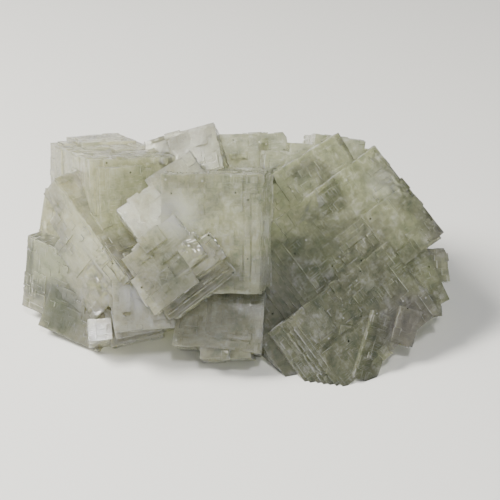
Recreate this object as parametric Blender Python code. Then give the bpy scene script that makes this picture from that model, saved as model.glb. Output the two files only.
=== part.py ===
"""Fluorite specimen: a hand-sized group of cubes that grew into each other as one piece.

Every crystal is placed in the specimen's show frame, in millimetres: X runs across the
specimen, Y up its show side and Z out of it towards the viewer. The show frame leans back on
the table by LEAN, as the specimen does when it rests on its flat underside.
"""

import math
import random

import bmesh
import bpy
from mathutils import Vector

NAME = "fluorite_cluster"
MM = 0.001

# How the specimen rests: its show side leans back, and its middle is this high
LEAN = math.radians(32)
MIDDLE_HEIGHT = 20.0

# How deep a growth layer is rooted in the face that it grew on
ROOT = 1.6
# How far a growth layer may reach past its face's edge, which makes the edge ragged
RAGGED = 0.9
# How far an offshoot may be turned from the crystal that it grew on, in degrees about each axis
LOOSE = 4.0
# The space that is cut away under the table's surface
TABLE = (160.0, 160.0, 60.0)

PALE_GREEN = (0.56, 0.60, 0.48, 1.0)
FLUORITE_IOR = 1.434

# Each face of a cube as its axis and its side
FACES = {
    "right": (0, 1),
    "left": (0, -1),
    "top": (1, 1),
    "bottom": (1, -1),
    "front": (2, 1),
    "back": (2, -1),
}


def clear_scene():
    for old in list(bpy.data.objects):
        bpy.data.objects.remove(old)


def new_collection(name):
    made = bpy.data.collections.new(name)
    bpy.context.scene.collection.children.link(made)
    return made


def fluorite():
    material = bpy.data.materials.new("pale_green_fluorite")
    material.use_nodes = True
    shader = material.node_tree.nodes["Principled BSDF"]
    shader.inputs["Base Color"].default_value = PALE_GREEN
    shader.inputs["Roughness"].default_value = 0.25
    shader.inputs["Metallic"].default_value = 0.0
    shader.inputs["IOR"].default_value = FLUORITE_IOR
    shader.inputs["Transmission Weight"].default_value = 0.8
    material.diffuse_color = PALE_GREEN
    return material


def cube(name, size, collection):
    """A box of this size in millimetres, as a helper that the union or the cut reads."""
    shape = bmesh.new()
    bmesh.ops.create_cube(shape, size=1.0)
    bmesh.ops.scale(shape, vec=Vector(size) * MM, verts=shape.verts)
    mesh = bpy.data.meshes.new(name)
    shape.to_mesh(mesh)
    shape.free()
    made = bpy.data.objects.new(name, mesh)
    collection.objects.link(made)
    made.hide_render = True
    made.display_type = "WIRE"
    made["size"] = size
    return made


def put(made, parent, at, tilt=(0.0, 0.0, 0.0)):
    """Places a box under its parent: at in millimetres, tilt in degrees about X, Y and Z."""
    made.parent = parent
    made.location = Vector(at) * MM
    made.rotation_euler = [math.radians(angle) for angle in tilt]
    return made


def crystal(name, at, size, tilt):
    return put(cube(name, size, crystals), show, at, tilt)


def block(host, at, size):
    """A block of the same crystal as its host, placed in the host's own directions."""
    return put(cube(f"{host.name}_block", size, crystals), host, at)


def layer(host, face, centre, size, rise):
    """One growth layer on a face: its centre and size along the face's two edges, and its rise."""
    axis, side = FACES[face]
    along, across = [i for i in range(3) if i != axis]
    extent = [0.0, 0.0, 0.0]
    middle = [0.0, 0.0, 0.0]
    extent[along], extent[across] = size
    middle[along], middle[across] = centre
    extent[axis] = rise + ROOT
    middle[axis] = side * (host["size"][axis] + rise - ROOT) / 2
    return put(cube(f"{host.name}_{face}", extent, crystals), host, middle)


def mosaic(host, face, count, grain, rise, seed):
    """Many growth layers on one face. Some reach past its edge, so that the edge is ragged."""
    axis, _ = FACES[face]
    spans = [host["size"][i] for i in range(3) if i != axis]
    chance = random.Random(seed)
    for _ in range(count):
        centre = []
        size = []
        for span in spans:
            wide = min(chance.uniform(*grain), span * 0.8)
            reach = (span - wide) / 2 + RAGGED * chance.random()
            centre.append(chance.uniform(-reach, reach))
            size.append(wide)
        layer(host, face, centre, size, chance.uniform(*rise))


def offshoots(host, face, count, grain, rise, seed):
    """Small cubes that grew out of one face, each turned a little from its host."""
    axis, side = FACES[face]
    chance = random.Random(seed)
    for _ in range(count):
        size = [chance.uniform(*grain) for _ in range(3)]
        size[axis] = max(size) + 2 * ROOT
        middle = [0.0, 0.0, 0.0]
        for i in range(3):
            if i == axis:
                middle[i] = side * ((host["size"][i] - size[i]) / 2 + chance.uniform(*rise))
            else:
                reach = max(host["size"][i] - 0.7 * size[i], 0.0) / 2
                middle[i] = chance.uniform(-reach, reach)
        tilt = [chance.uniform(-LOOSE, LOOSE) for _ in range(3)]
        put(cube(f"{host.name}_offshoot", size, crystals), host, middle, tilt)


def stair(host, face, side, count, run, drop, span, seed):
    """Thin layers that step down and outwards from one edge of a face.

    run is how far each layer reaches past the last, drop how far it lies below the last, and
    span the part of the edge that the layers cover, as two fractions from -1 to 1.
    """
    axis, out = FACES[face]
    edge, way = FACES[side]
    length = 3 - axis - edge
    half = [extent / 2 for extent in host["size"]]
    chance = random.Random(seed)
    for step in range(1, count + 1):
        low = half[length] * (span[0] + 0.12 * chance.random())
        high = half[length] * (span[1] - 0.12 * chance.random())
        reach = run * (step - 0.3 * chance.random())
        below = drop * (step - 0.3 * chance.random())
        extent = [0.0, 0.0, 0.0]
        middle = [0.0, 0.0, 0.0]
        extent[length] = high - low
        middle[length] = (high + low) / 2
        extent[edge] = reach + 2 * ROOT
        middle[edge] = way * (half[edge] + (reach - 2 * ROOT) / 2)
        extent[axis] = half[axis]
        middle[axis] = out * (half[axis] / 2 - below)
        put(cube(f"{host.name}_step", extent, crystals), host, middle)


def notch(at, size, tilt):
    """A broken-out corner."""
    return put(cube("notch", size, cutters), show, at, tilt)


def heart():
    """The mass that all the crystals grew from, which shows only underneath."""
    crystal("heart", (0.0, -3.0, -17.0), (60.0, 34.0, 15.0), (0, 0, 0))


def left_cube():
    """The cube at the upper left, seen on its top, its left side and its sunken front."""
    left = crystal("left_cube", (-30.5, 13.0, -8.0), (18.5, 18.5, 28.0), (15, 26, 6))
    crystal("left_cube_back", (-34.0, 19.0, -18.0), (12.5, 13.0, 12.0), (15, 26, 6))
    layer(left, "front", (-8.2, 0.5), (1.6, 17.0), 0.5)
    layer(left, "front", (-5.6, -2.0), (3.6, 13.0), 0.2)
    layer(left, "front", (0.4, 8.3), (14.0, 1.6), 0.6)
    mosaic(left, "front", 9, (1.2, 5.0), (0.07, 0.31), seed=2)
    mosaic(left, "left", 13, (1.2, 7.0), (0.1, 0.31), seed=3)
    mosaic(left, "top", 12, (1.5, 8.0), (0.084, 0.25), seed=5)
    offshoots(left, "left", 5, (2.0, 6.0), (0.1, 0.5), seed=201)
    offshoots(left, "front", 7, (2.0, 6.0), (0.2, 1.0), seed=202)
    stair(left, "left", "front", 3, 0.5, 0.5, (-0.9, 0.9), seed=8)


def top_peak():
    """The cube that stands highest, with a small facet leaning on its front."""
    peak = crystal("peak", (-12.5, 17.5, -7.0), (15.5, 11.0, 16.0), (-22, -7, 15))
    mosaic(peak, "front", 10, (1.2, 5.0), (0.07, 0.25), seed=12)
    mosaic(peak, "right", 4, (1.5, 5.0), (0.21, 0.56), seed=13)
    offshoots(peak, "front", 4, (2.0, 5.0), (0.1, 0.4), seed=203)
    facet = crystal("peak_facet", (-14.5, 13.5, 3.5), (11.0, 6.5, 10.0), (-18, 1, 34))
    mosaic(facet, "front", 2, (2.0, 5.0), (0.1, 0.19), seed=14)


def middle_cube():
    """The clean cube in the middle. Its right edge is rough with thin layers."""
    middle = crystal("middle_cube", (-6.5, 5.0, -0.5), (20.5, 24.0, 26.0), (8, -5, -1))
    layer(middle, "front", (7.9, 0.5), (2.6, 22.5), 0.25)
    layer(middle, "front", (9.0, -1.5), (1.7, 19.5), 0.55)
    stair(middle, "front", "right", 5, 0.28, 1.0, (-0.97, 0.95), seed=21)
    mosaic(middle, "right", 8, (1.5, 6.0), (0.21, 0.5), seed=22)
    mosaic(middle, "top", 4, (2.0, 8.0), (0.14, 0.25), seed=23)
    low = crystal("middle_low", (-5.5, -15.0, -5.5), (18.0, 15.0, 24.0), (-10, -4, -4))
    mosaic(low, "front", 4, (4.0, 9.0), (0.07, 0.19), seed=24)
    mosaic(low, "bottom", 6, (2.0, 6.0), (0.21, 0.5), seed=25)
    toe = crystal("middle_toe", (-4.5, -18.5, 0.1), (10.5, 10.0, 14.0), (-10, -5, 3))
    mosaic(toe, "bottom", 4, (1.5, 4.0), (0.21, 0.43), seed=26)


def tiled_crystal():
    """The crystal that stands on one edge in front, tiled with growth layers."""
    tiled = crystal("tiled", (-14.6, -3.3, 0.2), (14.2, 12.4, 26.0), (-8, -5, 37))
    low = block(tiled, (1.6, -3.3, 0.0), (17.4, 5.8, 26.3))
    stair(low, "front", "bottom", 6, 0.6, 0.45, (-0.95, 0.95), seed=34)
    block(tiled, (0.6, -0.6, 0.2), (14.6, 4.6, 26.0))
    block(tiled, (1.0, 5.2, -0.3), (10.8, 3.0, 26.0))
    layer(tiled, "front", (3.0, 3.6), (8.0, 6.6), 0.45)
    layer(tiled, "front", (5.4, -1.2), (4.4, 5.0), 0.65)
    layer(tiled, "front", (0.4, 5.6), (5.0, 3.4), 0.8)
    layer(tiled, "front", (6.0, -4.0), (6.0, 4.0), 0.36)
    layer(tiled, "front", (-4.2, -1.6), (8.0, 6.2), 0.26)
    layer(tiled, "front", (-2.4, -5.2), (11.0, 3.4), 0.42)
    mosaic(tiled, "front", 16, (1.2, 4.0), (0.084, 0.37), seed=31)
    mosaic(tiled, "top", 4, (2.0, 6.0), (0.14, 0.37), seed=32)
    mosaic(tiled, "right", 4, (1.5, 4.5), (0.14, 0.37), seed=33)
    offshoots(tiled, "front", 5, (2.0, 5.0), (0.1, 0.4), seed=204)
    beside = crystal("tiled_beside", (-21.0, 5.0, 2.2), (8.5, 10.5, 18.0), (-5, 8, 37))
    mosaic(beside, "front", 6, (1.6, 4.5), (0.14, 0.56), seed=36)


def lower_left():
    """The ridge that points at the viewer, and the crystals that it leans on."""
    corner = crystal("corner", (-28.2, 6.2, 1.4), (6.0, 25.0, 18.0), (-13, -45, 46))
    block(corner, (-5.8, -8.0, -0.3), (17.7, 11.0, 18.0))
    block(corner, (-4.0, -0.2, -0.1), (14.0, 8.6, 18.0))
    block(corner, (-2.0, 5.0, 0.1), (10.0, 6.0, 18.0))
    mosaic(corner, "front", 16, (1.5, 8.0), (0.084, 0.31), seed=41)
    mosaic(corner, "top", 8, (1.3, 5.0), (0.1, 0.25), seed=42)
    mosaic(corner, "right", 10, (1.3, 5.0), (0.14, 0.37), seed=43)
    offshoots(corner, "front", 5, (2.0, 5.0), (0.1, 0.5), seed=205)
    stair(corner, "front", "bottom", 3, 0.7, 0.5, (-0.9, 0.8), seed=44)
    wing = crystal("left_wing", (-38.5, 1.0, -17.5), (13.0, 25.0, 20.0), (6, -10, -10))
    mosaic(wing, "left", 8, (1.5, 5.0), (0.14, 0.37), seed=45)
    mosaic(wing, "front", 8, (1.3, 5.0), (0.1, 0.31), seed=52)
    offshoots(wing, "front", 6, (2.0, 6.0), (0.2, 0.8), seed=208)
    offshoots(wing, "left", 5, (2.0, 5.0), (0.2, 0.8), seed=209)
    between = crystal("between", (-22.5, -11.5, 0.8), (12.0, 11.0, 18.0), (-6, 5, 4))
    mosaic(between, "front", 6, (1.5, 5.0), (0.14, 0.5), seed=51)
    facet = crystal("bright_facet", (-24.2, -9.2, 2.8), (5.4, 11.0, 13.0), (-9, 17, -13))
    mosaic(facet, "front", 5, (1.0, 3.0), (0.1, 0.25), seed=46)
    low = crystal("low_left", (-34.0, -6.5, -10.5), (25.5, 17.0, 18.0), (27, -25, -22))
    mosaic(low, "front", 12, (1.5, 7.0), (0.084, 0.25), seed=47)
    offshoots(low, "front", 6, (2.0, 6.0), (0.1, 0.7), seed=210)
    mosaic(low, "left", 5, (2.0, 6.0), (0.14, 0.31), seed=48)
    foot = crystal("low_left_foot", (-35.0, -14.0, -11.0), (15.0, 11.0, 16.0), (5, -18, -21))
    mosaic(foot, "bottom", 6, (2.0, 6.0), (0.14, 0.43), seed=49)
    crystal("glint_facet", (-31.9, -17.6, 0.4), (4.6, 4.6, 8.0), (-15, 10, 4))
    step = crystal("low_step", (-25.5, -14.4, -8.5), (11.0, 12.6, 20.0), (-8, 4, 13))
    mosaic(step, "front", 3, (2.0, 5.0), (0.14, 0.31), seed=50)
    fill = crystal("low_middle", (-21.5, -12.6, -4.0), (16.0, 10.6, 19.0), (-6, 6, 11))
    mosaic(fill, "front", 5, (1.5, 5.0), (0.1, 0.31), seed=53)
    mosaic(fill, "bottom", 5, (1.5, 4.0), (0.14, 0.37), seed=54)


def right_crystal():
    """The large crystal at the right, which is turned by about a third of a right angle."""
    turn = (3, 14, 37)
    right = crystal("right", (18.5, 2.0, -9.5), (31.5, 24.0, 25.5), turn)
    layer(right, "front", (-5.0, 10.2), (8.0, 3.4), 0.4)
    layer(right, "front", (-9.5, 2.0), (8.0, 13.0), 0.25)
    layer(right, "front", (2.0, 6.4), (12.0, 8.0), 0.15)
    layer(right, "front", (9.5, -3.0), (11.0, 9.5), 0.2)
    stair(right, "front", "left", 6, 1.0, 0.6, (-1.0, 0.9), seed=60)
    mosaic(right, "front", 30, (1.3, 6.0), (0.05, 0.24), seed=61)
    offshoots(right, "front", 9, (2.0, 6.0), (0.0, 0.3), seed=211)
    offshoots(right, "right", 5, (2.0, 5.0), (0.2, 0.8), seed=212)
    mosaic(right, "right", 9, (2.0, 5.0), (0.14, 0.43), seed=62)
    mosaic(right, "top", 6, (2.0, 6.0), (0.14, 0.31), seed=63)
    upper = crystal("right_upper", (3.2, 8.0, -7.0), (16.0, 8.0, 23.0), turn)
    mosaic(upper, "front", 7, (1.3, 5.0), (0.14, 0.37), seed=72)
    top = crystal("right_top", (12.5, 14.8, -8.2), (17.0, 12.0, 21.0), (5, 12, 33))
    mosaic(top, "front", 12, (1.3, 5.0), (0.1, 0.37), seed=73)
    offshoots(top, "front", 4, (2.0, 5.0), (0.0, 0.3), seed=213)
    mosaic(top, "top", 5, (1.2, 4.0), (0.14, 0.37), seed=74)
    shoulder = crystal("right_edge", (24.0, 3.0, -10.5), (24.0, 20.5, 21.5), (2, 14, 40))
    mosaic(shoulder, "right", 14, (1.2, 3.5), (0.14, 0.37), seed=64)
    offshoots(shoulder, "right", 6, (2.0, 5.0), (0.2, 0.8), seed=214)
    lower = crystal("right_low", (21.5, -14.5, -7.0), (26.5, 18.5, 23.5), turn)
    stair(lower, "front", "left", 6, 0.9, 0.5, (-0.9, 1.0), seed=71)
    mosaic(lower, "front", 16, (1.3, 6.0), (0.06, 0.24), seed=65)
    offshoots(lower, "front", 5, (2.0, 6.0), (0.0, 0.3), seed=215)
    mosaic(lower, "bottom", 5, (2.0, 5.0), (0.14, 0.37), seed=66)
    side = crystal("right_side", (3.0, -13.0, -6.0), (14.0, 29.5, 19.5), turn)
    mosaic(side, "front", 6, (2.0, 9.0), (0.1, 0.37), seed=68)
    foot = crystal("right_foot", (5.8, -16.4, -7.0), (10.5, 12.6, 18.0), (-8, 8, -12))
    mosaic(foot, "front", 4, (2.0, 6.0), (0.21, 0.56), seed=69)
    mosaic(foot, "bottom", 4, (2.0, 4.0), (0.14, 0.37), seed=70)


def lower_right():
    """Narrow columns under the right crystal, and the clear facets beside them."""
    column = crystal("column", (18.5, -17.0, -0.1), (5.0, 19.5, 12.0), (-8, 12, -13))
    stair(column, "front", "left", 3, 0.9, 0.7, (-1.0, 0.6), seed=81)
    stair(column, "front", "right", 2, 0.8, 0.8, (-0.95, 0.8), seed=82)
    dark = crystal("dark_column", (23.2, -20.0, -0.3), (5.5, 14.5, 12.0), (-7, 25, -21))
    mosaic(dark, "right", 2, (2.0, 6.0), (0.14, 0.25), seed=83)
    short = crystal("short_column", (31.5, -16.0, -2.5), (5.0, 7.5, 12.0), (-4, 12, -17))
    mosaic(short, "bottom", 3, (1.2, 3.0), (0.21, 0.43), seed=84)
    clear = crystal("clear_facet", (35.5, -4.5, -11.0), (11.0, 7.0, 20.0), (-8, 8, 0))
    mosaic(clear, "right", 3, (1.5, 4.0), (0.14, 0.31), seed=85)
    crystal("clear_between", (32.5, -8.0, -9.5), (12.0, 12.0, 20.0), (2, 13, 24))
    low = crystal("clear_facet_low", (33.5, -12.0, -10.0), (11.5, 7.0, 20.0), (-7, 8, 2))
    mosaic(low, "front", 3, (1.5, 4.0), (0.14, 0.31), seed=86)


def top_ridge():
    """The crystals behind, whose tops make the ragged upper edge."""
    ridge = crystal("ridge", (0.0, 19.0, -16.5), (15.5, 13.5, 19.5), (2, 4, 3))
    mosaic(ridge, "front", 5, (2.0, 7.0), (0.1, 0.31), seed=91)
    offshoots(ridge, "front", 5, (2.0, 5.0), (0.1, 0.6), seed=216)
    mosaic(ridge, "top", 6, (1.5, 5.0), (0.14, 0.37), seed=92)
    right = crystal("ridge_right", (16.0, 16.3, -12.4), (18.0, 13.5, 19.5), (4, 6, -4))
    mosaic(right, "front", 8, (2.0, 7.0), (0.084, 0.31), seed=93)
    offshoots(right, "front", 5, (2.0, 6.0), (0.1, 0.7), seed=217)
    top = crystal("ridge_top", (18.0, 19.3, -13.5), (11.0, 11.5, 17.5), (4, 6, -8))
    mosaic(top, "top", 5, (1.5, 4.0), (0.14, 0.37), seed=94)
    rough = crystal("ridge_rough", (5.5, 14.5, -6.0), (7.0, 13.5, 13.5), (4, 8, -2))
    mosaic(rough, "front", 7, (1.2, 4.0), (0.21, 0.56), seed=95)


def far_side():
    """The crystals on the side turned away, and the sloping ones that reach the table."""
    turns = {
        "far_left": ((-24.0, 4.0, -19.0), (22.0, 20.0, 17.0), (12, -20, 10)),
        "far_middle": ((-1.0, 7.0, -22.0), (23.0, 21.0, 15.0), (-14, 12, 22)),
        "far_right": ((22.0, 1.0, -20.0), (24.0, 20.0, 16.0), (10, 25, -12)),
        "far_small": ((11.0, 12.0, -26.0), (12.0, 11.0, 10.0), (30, 20, 35)),
        "far_corner": ((-13.0, 13.0, -24.0), (12.0, 12.0, 11.0), (-24, -25, 15)),
        "far_end": ((34.0, -2.0, -18.0), (12.0, 12.0, 12.0), (16, -20, 26)),
        "far_low": ((-15.0, -4.0, -23.0), (20.0, 13.0, 11.0), (24, 8, -14)),
        "far_low_right": ((13.0, -3.0, -25.0), (17.0, 12.0, 11.0), (-12, -18, 12)),
    }
    for seed, (name, (at, size, tilt)) in enumerate(turns.items(), start=101):
        made = crystal(name, at, size, tilt)
        mosaic(made, "back", 5, (2.5, 8.0), (0.1, 0.37), seed=seed)
        offshoots(made, "back", 2, (2.5, 7.0), (0.2, 1.0), seed=seed + 120)
        mosaic(made, "top", 3, (2.0, 7.0), (0.1, 0.31), seed=seed + 20)


def broken_corners():
    """Small corners missing along the upper edge."""
    notch((4.6, 26.7, -14.0), (1.3, 2.4, 26.0), (0, 0, 4))
    notch((8.4, 26.1, -12.0), (2.2, 2.6, 20.0), (0, 0, 38))
    notch((11.2, 25.7, -12.0), (1.8, 2.6, 20.0), (0, 0, 45))
    notch((26.8, 23.5, -8.0), (2.4, 2.4, 26.0), (0, 0, 12))
    notch((42.8, 0.8, -4.0), (2.6, 1.6, 26.0), (0, 0, 30))
    notch((43.4, -7.3, -4.0), (1.4, 1.6, 26.0), (0, 0, 30))


def table():
    """The flat underside: what would lie under the table's surface is cut away."""
    cut = cube("under_the_table", TABLE, cutters)
    cut.location.z = -TABLE[2] / 2 * MM
    return cut


def add_boolean(made, name, operation, others):
    boolean = made.modifiers.new(name, "BOOLEAN")
    boolean.operation = operation
    boolean.operand_type = "COLLECTION"
    boolean.collection = others
    boolean.solver = "EXACT"


def outer_shell(shape):
    """Fills the pockets that stayed closed between the crystals, by removing their walls."""
    start = max(shape.verts, key=lambda vertex: vertex.co.x)
    found = {start}
    edge_of_search = [start]
    while edge_of_search:
        vertex = edge_of_search.pop()
        for edge in vertex.link_edges:
            other = edge.other_vert(vertex)
            if other not in found:
                found.add(other)
                edge_of_search.append(other)
    inner = [vertex for vertex in shape.verts if vertex not in found]
    bmesh.ops.delete(shape, geom=inner, context="VERTS")


def cluster(material):
    """The specimen: the crystals joined to one solid, with its corners broken and its foot flat."""
    first = crystals.objects["heart"]
    crystals.objects.unlink(first)
    specimen.objects.link(first)
    add_boolean(first, "Grown together", "UNION", crystals)
    add_boolean(first, "Broken and flat", "DIFFERENCE", cutters)
    bpy.context.view_layer.update()
    joined = first.evaluated_get(bpy.context.evaluated_depsgraph_get())
    shape = bmesh.new()
    shape.from_mesh(joined.to_mesh())
    shape.transform(joined.matrix_world)
    outer_shell(shape)
    low = Vector(min(vertex.co[i] for vertex in shape.verts) for i in range(3))
    high = Vector(max(vertex.co[i] for vertex in shape.verts) for i in range(3))
    # The origin is under the middle of the specimen's box
    shift = Vector((-(low.x + high.x) / 2, -(low.y + high.y) / 2, -low.z))
    bmesh.ops.translate(shape, vec=shift, verts=shape.verts)
    show.location += shift
    mesh = bpy.data.meshes.new(NAME)
    shape.to_mesh(mesh)
    shape.free()
    mesh.materials.clear()
    mesh.materials.append(material)
    made = bpy.data.objects.new(NAME, mesh)
    specimen.objects.link(made)
    bpy.data.objects.remove(first)
    return made


clear_scene()
specimen = new_collection("fluorite_specimen")
crystals = new_collection("crystals")
cutters = new_collection("cutters")
crystals.hide_render = True
cutters.hide_render = True

show = bpy.data.objects.new("show_frame", None)
specimen.objects.link(show)
show.location.z = MIDDLE_HEIGHT * MM
show.rotation_euler.x = math.pi / 2 - LEAN

heart()
left_cube()
top_peak()
middle_cube()
tiled_crystal()
lower_left()
right_crystal()
lower_right()
top_ridge()
far_side()
broken_corners()
table()
cluster(fluorite())
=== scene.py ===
"""Fluorite specimen: a hand-sized group of pale green, see-through cubes grown into each other."""

import math
import random

import bmesh
import bpy
from mathutils import Matrix, Vector, noise


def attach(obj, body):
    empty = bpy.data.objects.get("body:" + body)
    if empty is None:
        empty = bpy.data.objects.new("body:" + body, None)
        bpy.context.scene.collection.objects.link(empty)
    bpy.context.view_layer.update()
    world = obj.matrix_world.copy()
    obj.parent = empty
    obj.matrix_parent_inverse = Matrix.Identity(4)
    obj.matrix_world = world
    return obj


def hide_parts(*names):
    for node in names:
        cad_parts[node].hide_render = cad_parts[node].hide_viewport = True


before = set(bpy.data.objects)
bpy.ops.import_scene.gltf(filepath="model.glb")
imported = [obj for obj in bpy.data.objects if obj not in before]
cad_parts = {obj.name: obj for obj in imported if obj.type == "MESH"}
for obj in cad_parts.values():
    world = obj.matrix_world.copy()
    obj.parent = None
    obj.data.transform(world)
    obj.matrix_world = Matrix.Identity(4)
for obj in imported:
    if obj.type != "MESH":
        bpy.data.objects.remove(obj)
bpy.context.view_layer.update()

# The specimen's show side leans back. This is its middle, and its directions across, up and out
MM = 0.001
AIM = Vector((3.78, -8.777, 20.0)) * MM
LEAN_BACK = math.radians(32)
ACROSS = Vector((1.0, 0.0, 0.0))
UP = Vector((0.0, math.sin(LEAN_BACK), math.cos(LEAN_BACK)))
OUT = ACROSS.cross(UP)

# The crystals. Fluorite grows as cubes, and each face is a stack of thin square-cornered growth
# layers. The outline of a layer is a staircase of small right-angled steps along the cube's own
# three directions, so every face is cut along them and its layers are raised one by one.

# Points closer than this are one point, and facets that bend by less than this are one facet
MERGE_DISTANCE = 0.001 * MM
FLAT_BEND = math.radians(0.3)
# Facets look the same way when the cosine between them is more than this, and meet at a right
# angle when it is less than the next
SAME_DIRECTION = math.cos(math.radians(0.4))
SQUARE = 0.004
# A direction lies along a facet, rather than out of it, when their cosine is less than this
ALONG_FACET = 0.5
# Cuts nearer than this to a corner run through it, and facets that stay lower than the next lie
# on the table and are not cut
CUT_TOLERANCE = 0.002 * MM
TABLE_CLEARANCE = 0.02 * MM
# Distance between two growth steps, and how much finer or coarser a direction can be
STEP_SPACING = (0.45 * MM, 1.7 * MM)
GRAINS = (0.65, 1.0, 1.0, 1.7)
# A layer's height, how far its wall leans in, and how many lie over each other at most
LAYER_RISE = (0.05 * MM, 0.1 * MM)
LAYER_LEAN = 0.02 * MM
LAYERS = 4
# Tiles narrower than this, this close to the table or next to bends out of this range stay bare
NARROWEST_TILE = 0.16 * MM
BARE_FOOT = 0.4 * MM
BARE_BENDS = (-0.1, math.radians(100))
# Growth from 0 to 1: its mean, and what the large and small fast patches and chance add to it
MEAN_GROWTH = 0.45
PATCH = 7.0 * MM
PATCH_GROWTH = 1.0
SMALL_PATCH = 2.2 * MM
SMALL_PATCH_GROWTH = 0.7
CHANCE_GROWTH = 0.3
# Each crystal has its own patches, because its number moves them by this
PATCH_SHIFT = (3.7, 1.3)
# Faces that meet at more than this angle make an edge of the cube, where layers end ragged:
# one of these counts of layers is missing from a tile there
CUBE_EDGE = math.radians(40)
MISSING_LAYERS = (0, 0, 1, 2, 4)
# How stiffly a corner of a layer stays put sideways, and its longest move, in layer heights
GRIP = 0.02
LONGEST_MOVE = 2.2
# The faces are not quite flat: how far they wander, over what distance, and how high above the
# table the wandering is complete. The seed makes it the same in every run
WANDER = 0.22 * MM
WANDER_LENGTH = 8.0 * MM
STILL_FOOT = 2 * MM
WANDER_SEED = 1

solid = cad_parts["fluorite_cluster"]
shape = bmesh.new()
shape.from_mesh(solid.data)
bmesh.ops.remove_doubles(shape, verts=shape.verts, dist=MERGE_DISTANCE)
bmesh.ops.dissolve_limit(shape, angle_limit=FLAT_BEND, verts=shape.verts, edges=shape.edges)
shape.normal_update()
direction_of = shape.faces.layers.int.new("direction")
layer_of = shape.faces.layers.int.new("layer")
tile_of = shape.faces.layers.float.new("tile")
frost_of = shape.faces.layers.float.new("frost")


def find_directions(shape):
    """Marks each facet with the number of its direction, and returns the directions."""
    directions = []
    for face in sorted(shape.faces, key=lambda each: -each.calc_area()):
        for number, known in enumerate(directions):
            if abs(face.normal.dot(known)) > SAME_DIRECTION:
                face[direction_of] = number
                break
        else:
            face[direction_of] = len(directions)
            directions.append(face.normal.copy())
    return directions


def find_crystals(shape, directions):
    """Each crystal's three directions, and the crystal that each direction belongs to.

    They are the directions whose facets meet at right angles along the longest edges.
    """
    meeting = {}
    for edge in shape.edges:
        if len(edge.link_faces) != 2:
            continue
        one, other = edge.link_faces
        if abs(one.normal.dot(other.normal)) > SQUARE:
            continue
        pair = (one[direction_of], other[direction_of])
        for key in (pair, pair[::-1]):
            meeting[key] = meeting.get(key, 0.0) + edge.calc_length()
    found = []
    taken = {}
    for (one, other), _ in sorted(meeting.items(), key=lambda item: -item[1]):
        if one in taken or other in taken:
            continue
        across = directions[one].cross(directions[other])
        members = [one, other]
        for number, known in enumerate(directions):
            if number not in taken and abs(across.dot(known)) > SAME_DIRECTION:
                members.append(number)
                break
        for number in members:
            taken[number] = len(found)
        found.append((directions[one], directions[other], across.normalized()))
    return found, taken


def cut_along(shape, faces, across, chance):
    """Cuts these facets by planes square to one direction, at growth steps."""
    grain = chance.choice(GRAINS)
    if not faces:
        return
    reach = [vertex.co.dot(across) for face in faces for vertex in face.verts]
    place = min(reach) + chance.uniform(*STEP_SPACING) * grain
    end = max(reach)
    active = [(face, [v.co.dot(across) for v in face.verts]) for face in faces]
    active = [(face, min(spans), max(spans)) for face, spans in active]
    while place < end:
        waiting = [item for item in active if item[1] >= place]
        crossed = [item[0] for item in active if item[1] < place < item[2]]
        if crossed:
            edges = list({edge for face in crossed for edge in face.edges})
            verts = list({vertex for face in crossed for vertex in face.verts})
            made = bmesh.ops.bisect_plane(
                shape,
                geom=crossed + edges + verts,
                dist=CUT_TOLERANCE,
                plane_co=across * place,
                plane_no=across,
            )
            for item in made["geom"]:
                if isinstance(item, bmesh.types.BMFace):
                    spans = [vertex.co.dot(across) for vertex in item.verts]
                    waiting.append((item, min(spans), max(spans)))
        active = waiting
        place += chance.uniform(*STEP_SPACING) * grain


directions = find_directions(shape)
crystals, crystal_of = find_crystals(shape, directions)
for number, crystal in enumerate(crystals):
    chance = random.Random(f"steps {number}")
    for across in crystal:
        faces = []
        for face in shape.faces:
            if crystal_of.get(face[direction_of]) != number:
                continue
            if abs(face.normal.dot(across)) > ALONG_FACET:
                continue
            if max(vertex.co.z for vertex in face.verts) > TABLE_CLEARANCE:
                faces.append(face)
        cut_along(shape, faces, across, chance)
shape.normal_update()


def open_to_grow(face):
    """Whether a face can carry layers: not under the specimen, nor in a corner between crystals."""
    if face.calc_center_median().z < BARE_FOOT:
        return False
    longest = max(edge.calc_length() for edge in face.edges)
    if face.calc_area() / longest < NARROWEST_TILE:
        return False
    for edge in face.edges:
        if len(edge.link_faces) != 2:
            return False
        bend = edge.calc_face_angle_signed()
        if bend < BARE_BENDS[0] or bend > BARE_BENDS[1]:
            return False
    return True


def fast_growth(where, crystal, chance):
    """How many layers lie on a face at this place."""
    shift = Vector((crystal * PATCH_SHIFT[0], crystal * PATCH_SHIFT[1], 0.0))
    grown = MEAN_GROWTH + PATCH_GROWTH * noise.noise(where / PATCH + shift)
    grown += SMALL_PATCH_GROWTH * noise.noise(where / SMALL_PATCH + shift)
    grown += CHANCE_GROWTH * (chance.random() - 0.5)
    return max(0, min(LAYERS, int(grown * LAYERS)))


shape.faces.index_update()
for face in shape.faces:
    crystal = crystal_of.get(face[direction_of])
    chance = random.Random(f"tile {face.index}")
    face[tile_of] = chance.random()
    if crystal is not None and open_to_grow(face):
        grown = fast_growth(face.calc_center_median(), crystal, chance)
        if any(edge.calc_face_angle() > CUBE_EDGE for edge in face.edges):
            grown -= chance.choice(MISSING_LAYERS)
        face[layer_of] = max(0, grown)


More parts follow.
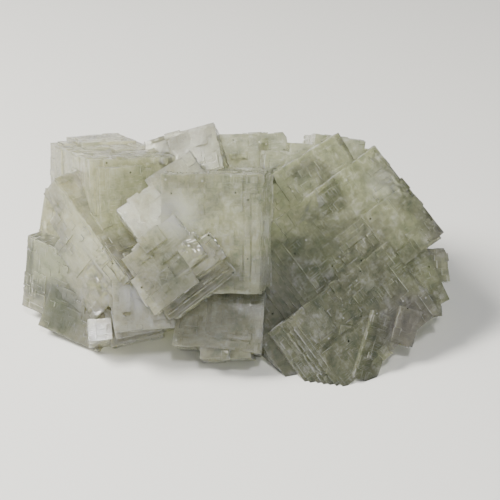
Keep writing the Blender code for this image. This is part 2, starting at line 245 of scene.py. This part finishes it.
def raise_layer(shape, raised, rise, lean):
    """Lifts these faces by one layer: its top moves out, and its rim in from the wall's foot."""
    made = bmesh.ops.inset_region(
        shape, faces=raised, thickness=0.0, depth=0.0, use_boundary=True, use_even_offset=False
    )
    inside = set(raised)
    moves = {}
    for vertex in {vertex for face in raised for vertex in face.verts}:
        grip = Matrix.Identity(3) * GRIP
        pull = Vector()
        for face in vertex.link_faces:
            if face in inside:
                grip += outer(face.normal)
                pull += face.normal * rise
        for edge in vertex.link_edges:
            faces = [face for face in edge.link_faces if face in inside]
            if len(faces) == 1:
                inwards = rim_direction(edge, faces[0])
                grip += outer(inwards)
                pull += inwards * lean
        move = grip.inverted() @ pull
        if move.length > LONGEST_MOVE * rise:
            move = move.normalized() * LONGEST_MOVE * rise
        moves[vertex] = move
    for vertex, move in moves.items():
        vertex.co += move
        vertex.co.z = max(vertex.co.z, 0.0)
    return made["faces"]


def outer(way):
    """The matrix that keeps only the part of a vector along this direction."""
    return Matrix([way * way.x, way * way.y, way * way.z])


def rim_direction(edge, face):
    """The direction from a rim edge into its face."""
    loop = next(each for each in edge.link_loops if each.face == face)
    along = loop.link_loop_next.vert.co - loop.vert.co
    return face.normal.cross(along).normalized()


for count in range(1, LAYERS + 1):
    raised = [face for face in shape.faces if face[layer_of] >= count]
    chance = random.Random(count)
    for wall in raise_layer(shape, raised, chance.uniform(*LAYER_RISE), LAYER_LEAN):
        wall[layer_of] = -count
        wall[frost_of] = chance.random() ** 2
    shape.normal_update()

# The UV map runs along each face's own lattice, in metres
grid = shape.loops.layers.uv.new("UVMap")
for face in shape.faces:
    crystal = crystal_of.get(face[direction_of])
    if crystal is None:
        along = face.normal.orthogonal().normalized()
        over = face.normal.cross(along)
    else:
        flat = sorted(crystals[crystal], key=lambda each: abs(each.dot(face.normal)))
        along, over = flat[0], flat[1]
    for loop in face.loops:
        loop[grid].uv = (loop.vert.co.dot(along), loop.vert.co.dot(over))

noise.seed_set(WANDER_SEED)
for vertex in shape.verts:
    freedom = min(1.0, vertex.co.z / STILL_FOOT)
    vertex.co += noise.noise_vector(vertex.co / WANDER_LENGTH) * WANDER * freedom
    vertex.co.z = max(vertex.co.z, 0.0)
bmesh.ops.triangulate(shape, faces=[face for face in shape.faces if len(face.verts) > 4])
mesh = bpy.data.meshes.new("fluorite_crystals")
shape.to_mesh(mesh)
shape.free()
cluster = bpy.data.objects.new("fluorite_crystals", mesh)
bpy.context.scene.collection.objects.link(cluster)
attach(cluster, "root")
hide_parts("fluorite_cluster")


def linear(code):
    """An sRGB hex colour as linear red, green, blue and alpha."""
    parts = [int(code[i : i + 2], 16) / 255 for i in (1, 3, 5)]
    return [c / 12.92 if c <= 0.04045 else ((c + 0.055) / 1.055) ** 2.4 for c in parts] + [1.0]


def add(tree, kind, settings=None, links=None):
    """Adds a node. Settings are its properties or plain socket values, links its linked inputs."""
    node = tree.nodes.new(kind)
    for name, value in (settings or {}).items():
        if isinstance(name, int) or name in node.inputs:
            node.inputs[name].default_value = value
        else:
            setattr(node, name, value)
    for name, source in (links or {}).items():
        tree.links.new(source, node.inputs[name])
    return node


# Natural fluorite, grown and never cut or polished: see-through pale green with milky veils. Its
# cube faces have a soft glassy gloss, and the walls of the growth steps are frosted white.
FLUORITE_IOR = 1.434
TRANSMISSION = 0.78
ROUGHNESS = (0.04, 0.2)
# Red, green and blue light goes this deep into the milky stone, and light that crosses the clear
# stone takes on this tint
MILKY_DEPTH = 3.0 * MM
DEPTH_BY_COLOUR = (1.0, 1.0, 0.8)
CLEAR_TINT = linear("#CDD1B8")
CLEAR_DENSITY = 60.0
MILKY = linear("#DEDBC3")
OLIVE = linear("#A7AA8C")
# Smoky green, which also paints the shade on the lower faces at the left end
SMOKY_AND_SHADE = linear("#74806F")
# Frosted white, which also paints highlights on gleaming facets and painted sparkles
FROST_AND_HIGHLIGHT = linear("#FDFDF6")
LILAC = linear("#B9ACB8")
SPECK = linear("#4E4E40")
# The group turns greener from the first of these places to the second, along its X
GREENER = (-26 * MM, 20 * MM)
# Sizes of the veils and the mottling, of the grit and the striae on the faces, and the distance
# between specks. Real grit, striae and scratches are finer, and these are as coarse as they need
# to be to show
VEIL = 11 * MM
MOTTLE = 2.4 * MM
GRIT = 0.45 * MM
GRIT_HEIGHT = 0.06 * MM
STRIA_WIDTH = 0.3 * MM
STRIA_LENGTH = 5 * MM
STRIA_HEIGHT = 0.05 * MM
SPECK_SPACING = 2.6 * MM

stone = bpy.data.materials.new("natural_fluorite")
stone.use_nodes = True
tree = stone.node_tree
tree.nodes.clear()
space = add(tree, "ShaderNodeTexCoord").outputs["Object"]
lattice = add(tree, "ShaderNodeUVMap", {"uv_map": "UVMap"}).outputs["UV"]
tile = add(tree, "ShaderNodeAttribute", {"attribute_name": "tile"}).outputs["Fac"]
frost = add(tree, "ShaderNodeAttribute", {"attribute_name": "frost"}).outputs["Fac"]

# A zone is full inside this share of its radius
ZONE_CORE = 0.25


def zone(across, up, out, radius):
    """A soft round zone at this place of the show side, in millimetres: 1 inside, 0 outside."""
    centre = AIM + (across * ACROSS + up * UP + out * OUT) * MM
    reach = add(
        tree, "ShaderNodeVectorMath", {"operation": "DISTANCE", 1: centre}, {0: space}
    ).outputs["Value"]
    return add(
        tree,
        "ShaderNodeMapRange",
        {
            "interpolation_type": "SMOOTHSTEP",
            "From Min": radius * MM,
            "From Max": ZONE_CORE * radius * MM,
        },
        {"Value": reach},
    ).outputs["Result"]


# Milky stone turns to green in veils and to the right. Each crystal's tiles differ a little, and
# a fine mottling of smoky and frosted patches lies over them
veils = add(
    tree,
    "ShaderNodeTexNoise",
    {"Scale": 1 / VEIL, "Detail": 5.0, "Roughness": 0.6, "Distortion": 0.6},
    {"Vector": space},
).outputs["Fac"]
mottle = add(
    tree,
    "ShaderNodeTexNoise",
    {"Scale": 1 / MOTTLE, "Detail": 6.0, "Roughness": 0.7, "Distortion": 0.35},
    {"Vector": space},
).outputs["Fac"]
place_across = add(tree, "ShaderNodeSeparateXYZ", None, {"Vector": space}).outputs["X"]
rightwards = add(
    tree,
    "ShaderNodeMapRange",
    {"From Min": GREENER[0], "From Max": GREENER[1], "To Min": 0.0, "To Max": 0.85},
    {"Value": place_across},
).outputs["Result"]
greenness = add(
    tree, "ShaderNodeMath", {"operation": "MULTIPLY_ADD", 1: 2.0, 2: -1.0}, {0: veils}
).outputs["Value"]
greenness = add(
    tree, "ShaderNodeMath", {"operation": "ADD", "use_clamp": True}, {0: greenness, 1: rightwards}
).outputs["Value"]
tone = add(
    tree, "ShaderNodeMix", {"data_type": "RGBA", 6: MILKY, 7: OLIVE}, {0: greenness}
).outputs[2]
tone = add(
    tree,
    "ShaderNodeMix",
    {"data_type": "RGBA", "blend_type": "OVERLAY", 0: 0.12},
    {6: tone, 7: tile},
).outputs[2]
shade = add(
    tree,
    "ShaderNodeMapRange",
    {"From Min": 0.5, "From Max": 0.72, "To Min": 0.0, "To Max": 0.75},
    {"Value": mottle},
).outputs["Result"]
cloud = add(
    tree,
    "ShaderNodeMapRange",
    {"From Min": 0.47, "From Max": 0.32, "To Min": 0.0, "To Max": 0.6},
    {"Value": mottle},
).outputs["Result"]
# What covers the stone's own tone, in order: a colour and the share that it covers
covers = [(SMOKY_AND_SHADE, shade), (FROST_AND_HIGHLIGHT, cloud)]

# Places where the crystals are frosted, smoky or tinged with lilac, with painted highlights and
# painted shade among them: across, up, out and radius
for colour, strength, places in (
    # The second and third places here are painted highlights: white that stands in for the gleam of
    # the facets at the lower left
    (FROST_AND_HIGHLIGHT, 0.8, ((-15, 7, 13, 7), (-23, -9, 9, 5), (-32, -17.5, 4, 3), (2, 5, 11, 4))),
    # The first place here is a painted highlight: the peak's face is whitened where it gleams
    (FROST_AND_HIGHLIGHT, 0.4, ((-12, 20, 3, 9), (2, -4, 10, 5), (-33, 2, 6, 5), (28, 14, 0, 5))),
    (SMOKY_AND_SHADE, 0.2, ((8.5, -3, 4, 13), (-25, 13, 3, 8), (5, 14, 4, 8), (-39, 0, 1, 9))),
    # Painted shade: these two places darken the lower faces at the left end, which lie in shadow
    (SMOKY_AND_SHADE, 0.6, ((-46, -5, -4, 13), (-41, -14, -2, 9))),
    (SMOKY_AND_SHADE, 0.35, ((-14, -6, 14, 7), (-36, 24, -6, 6))),
    (LILAC, 0.4, ((33, -16, 0, 11), (40, 2, -6, 8), (-34, 15, 4, 4))),
):
    for place in places:
        share = add(
            tree, "ShaderNodeMath", {"operation": "MULTIPLY", 1: strength}, {0: zone(*place)}
        ).outputs["Value"]
        covers.append((colour, share))

# Fine bright scratches along the lattice, in patches: width and length in millimetres, turn, and
# the least noise that shows. Then the frosted walls of the steps, painted sparkles and dark specks
scratched = add(
    tree,
    "ShaderNodeMapRange",
    {"From Min": 0.5, "From Max": 0.66, "To Min": 0.03, "To Max": 0.8},
    {"Value": veils},
).outputs["Result"]
for narrow, long, turn, least in ((0.11, 3.2, 0.0, 0.61), (0.13, 1.4, math.pi / 2, 0.65)):
    placed = add(
        tree,
        "ShaderNodeMapping",
        {"Rotation": (0.0, 0.0, turn), "Scale": (1 / (narrow * MM), 1 / (long * MM), 1.0)},
        {"Vector": lattice},
    ).outputs["Vector"]
    line = add(
        tree, "ShaderNodeTexNoise", {"Scale": 1.0, "Detail": 1.0}, {"Vector": placed}
    ).outputs["Fac"]
    line = add(
        tree,
        "ShaderNodeMapRange",
        {"From Min": least, "From Max": least + 0.06},
        {"Value": line, "To Max": scratched},
    ).outputs["Result"]
    covers.append((FROST_AND_HIGHLIGHT, line))
walls = add(
    tree, "ShaderNodeMath", {"operation": "MULTIPLY", "use_clamp": True, 1: 1.8}, {0: frost}
).outputs["Value"]
covers.append((FROST_AND_HIGHLIGHT, walls))
grains = add(
    tree,
    "ShaderNodeTexVoronoi",
    {"Scale": 1 / SPECK_SPACING, "Randomness": 1.0},
    {"Vector": space},
)
speck = add(
    tree,
    "ShaderNodeMapRange",
    {"From Min": 0.1, "From Max": 0.07, "To Min": 0.0, "To Max": 1.0},
    {"Value": grains.outputs["Distance"]},
).outputs["Result"]
kind = add(tree, "ShaderNodeSeparateXYZ", None, {"Vector": grains.outputs["Color"]}).outputs["X"]
dark = add(
    tree, "ShaderNodeMath", {"operation": "LESS_THAN", 1: 0.4}, {0: kind}
).outputs["Value"]
# Painted highlights: these white specks stand in for sparkling glints of light
painted_sparkle = add(
    tree, "ShaderNodeMath", {"operation": "GREATER_THAN", 1: 0.6}, {0: kind}
).outputs["Value"]
for colour, chosen in ((SPECK, dark), (FROST_AND_HIGHLIGHT, painted_sparkle)):
    share = add(
        tree, "ShaderNodeMath", {"operation": "MULTIPLY"}, {0: speck, 1: chosen}
    ).outputs["Value"]
    covers.append((colour, share))
for colour, share in covers:
    tone = add(
        tree, "ShaderNodeMix", {"data_type": "RGBA", 7: colour}, {0: share, 6: tone}
    ).outputs[2]

# Striae run along the lattice of each face, and a fine grit dulls it
ripple = add(
    tree,
    "ShaderNodeMapping",
    {"Scale": (1 / STRIA_WIDTH, 1 / STRIA_LENGTH, 1.0)},
    {"Vector": lattice},
).outputs["Vector"]
striae = add(
    tree, "ShaderNodeTexNoise", {"Scale": 1.0, "Detail": 2.0}, {"Vector": ripple}
).outputs["Fac"]
bumps = add(
    tree, "ShaderNodeBump", {"Strength": 0.5, "Distance": STRIA_HEIGHT}, {"Height": striae}
).outputs["Normal"]
grit = add(
    tree,
    "ShaderNodeTexNoise",
    {"Scale": 1 / GRIT, "Detail": 4.0, "Roughness": 0.7},
    {"Vector": space},
).outputs["Fac"]
bumps = add(
    tree,
    "ShaderNodeBump",
    {"Strength": 0.6, "Distance": GRIT_HEIGHT},
    {"Height": grit, "Normal": bumps},
).outputs["Normal"]
rough = add(
    tree,
    "ShaderNodeMapRange",
    {"From Min": 0.3, "From Max": 0.7, "To Min": ROUGHNESS[0], "To Max": ROUGHNESS[1]},
    {"Value": mottle},
).outputs["Result"]

shader = add(
    tree,
    "ShaderNodeBsdfPrincipled",
    {
        "IOR": FLUORITE_IOR,
        "Transmission Weight": TRANSMISSION,
        "Subsurface Weight": 1.0,
        "Subsurface Radius": DEPTH_BY_COLOUR,
        "Subsurface Scale": MILKY_DEPTH,
    },
    {"Base Color": tone, "Roughness": rough, "Normal": bumps},
).outputs["BSDF"]
depth = add(
    tree, "ShaderNodeVolumeAbsorption", {"Color": CLEAR_TINT, "Density": CLEAR_DENSITY}
).outputs["Volume"]
add(tree, "ShaderNodeOutputMaterial", None, {"Surface": shader, "Volume": depth})
cluster.data.materials.append(stone)

# The table: a plain pale floor under plain soft studio lights. The key light hangs high at the
# left, so that the facets that look up at it gleam and the steps show. The fill light lifts the
# lower faces, and the small third light is what the facet at the lower left mirrors.
FLOOR_SIZE = 4.0
bpy.ops.mesh.primitive_plane_add(size=FLOOR_SIZE)
floor = bpy.context.object
floor.name = "floor"
paint = bpy.data.materials.new("pale_floor")
paint.use_nodes = True
matt = paint.node_tree.nodes["Principled BSDF"].inputs
matt["Base Color"].default_value = linear("#D6D5D1")
matt["Roughness"].default_value = 0.8
floor.data.materials.append(paint)


def soft_light(name, towards, distance, size, power, colour):
    """A square soft box that looks at the specimen: its distance and size are in metres."""
    lamp = bpy.data.lights.new(name, "AREA")
    lamp.size = size
    lamp.energy = power
    lamp.color = linear(colour)[:3]
    made = bpy.data.objects.new(name, lamp)
    made.location = AIM + Vector(towards).normalized() * distance
    made.rotation_euler = Vector(towards).to_track_quat("Z", "Y").to_euler()
    bpy.context.scene.collection.objects.link(made)


soft_light("key_light", (-0.68, -0.06, 0.76), 0.6, 0.24, 10.5, "#FFFDF6")
soft_light("fill_light", (0.1, -0.9, 0.5), 0.9, 0.5, 2.7, "#F6F8FF")
soft_light("glint_light", (0.08, -0.54, 0.84), 0.6, 0.06, 2.0, "#FFFFFF")

world = bpy.data.worlds.new("studio")
bpy.context.scene.world = world
world.use_nodes = True
surroundings = world.node_tree.nodes["Background"].inputs
surroundings["Color"].default_value = linear("#C8CCD0")
surroundings["Strength"].default_value = 0.28

# The camera looks straight at the show side
VIEW_DISTANCE = 0.230
SENSOR_WIDTH = 36.0
LENS = 78.12
camera = bpy.data.objects.new("camera", bpy.data.cameras.new("camera"))
bpy.context.scene.collection.objects.link(camera)
bpy.context.scene.camera = camera
camera.data.sensor_width = SENSOR_WIDTH
camera.data.lens = LENS
camera.location = AIM + OUT * VIEW_DISTANCE
camera.rotation_euler = OUT.to_track_quat("Z", "Y").to_euler()
